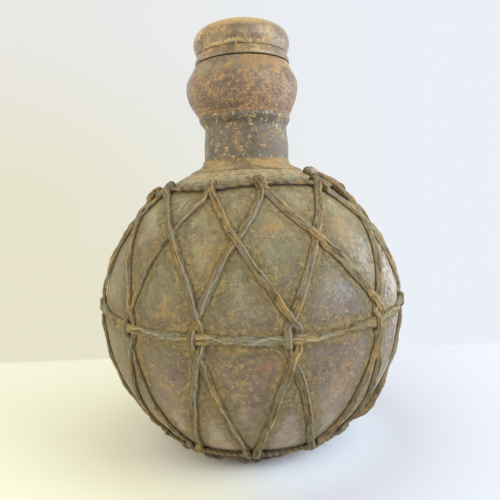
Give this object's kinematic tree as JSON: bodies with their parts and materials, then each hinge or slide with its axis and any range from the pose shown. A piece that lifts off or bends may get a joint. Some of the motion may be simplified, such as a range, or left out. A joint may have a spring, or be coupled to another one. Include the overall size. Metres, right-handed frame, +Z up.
{
  "type": "water pot",
  "caption": "Globular sheet-iron water pot with a waisted neck, a bulbous mouth and a lift-off domed lid, held in a net of rawhide thongs.",
  "frame": {"origin": "middle of the flat base", "axes": "+Z up along the neck; -Y towards the pictured front"},
  "size_m": [0.3057, 0.3064, 0.4262],
  "materials": {
    "lower_iron": "rusted, matt",
    "upper_iron": "rusted and dusty, matt",
    "dusty_iron": "rusted and dusty, matt",
    "neck_iron": "dark, worn smooth",
    "rusty_iron": "flecked with rust",
    "lid_iron": "rusted, worn at the rim",
    "dark_hide": "dry rawhide, dirty",
    "strap_hide": "dry rawhide",
    "thong_hide": "dry twisted rawhide"
  },
  "bodies": {
    "pot": {"lower_shell": "lower_iron", "upper_shell": "upper_iron", "neck_collar": "dusty_iron", "neck_tube": "neck_iron", "neck_bulb": "rusty_iron", "shoulder_ring": "dark_hide", "girth_strap": "strap_hide", "base_ring": "dark_hide", "over_thong_01": "thong_hide", "over_thong_02": "thong_hide", "over_thong_03": "thong_hide", "over_thong_04": "thong_hide", "over_thong_05": "thong_hide", "over_thong_06": "thong_hide", "over_thong_07": "thong_hide", "over_thong_08": "thong_hide", "over_thong_09": "thong_hide", "over_thong_10": "thong_hide", "over_thong_11": "thong_hide", "over_thong_12": "thong_hide", "under_thong_01": "thong_hide", "under_thong_02": "thong_hide", "under_thong_03": "thong_hide", "under_thong_04": "thong_hide", "under_thong_05": "thong_hide", "under_thong_06": "thong_hide", "under_thong_07": "thong_hide", "under_thong_08": "thong_hide", "under_thong_09": "thong_hide", "under_thong_10": "thong_hide", "under_thong_11": "thong_hide", "under_thong_12": "thong_hide"},
    "lid": {"lid_cap": "lid_iron", "lid_ring": "lid_iron"}
  },
  "joints": [
    {"name": "lid_lift", "type": "slide", "parent": "pot", "child": "lid", "axis": [0, 0, 1], "range_m": [0, 0.06]}
  ]
}
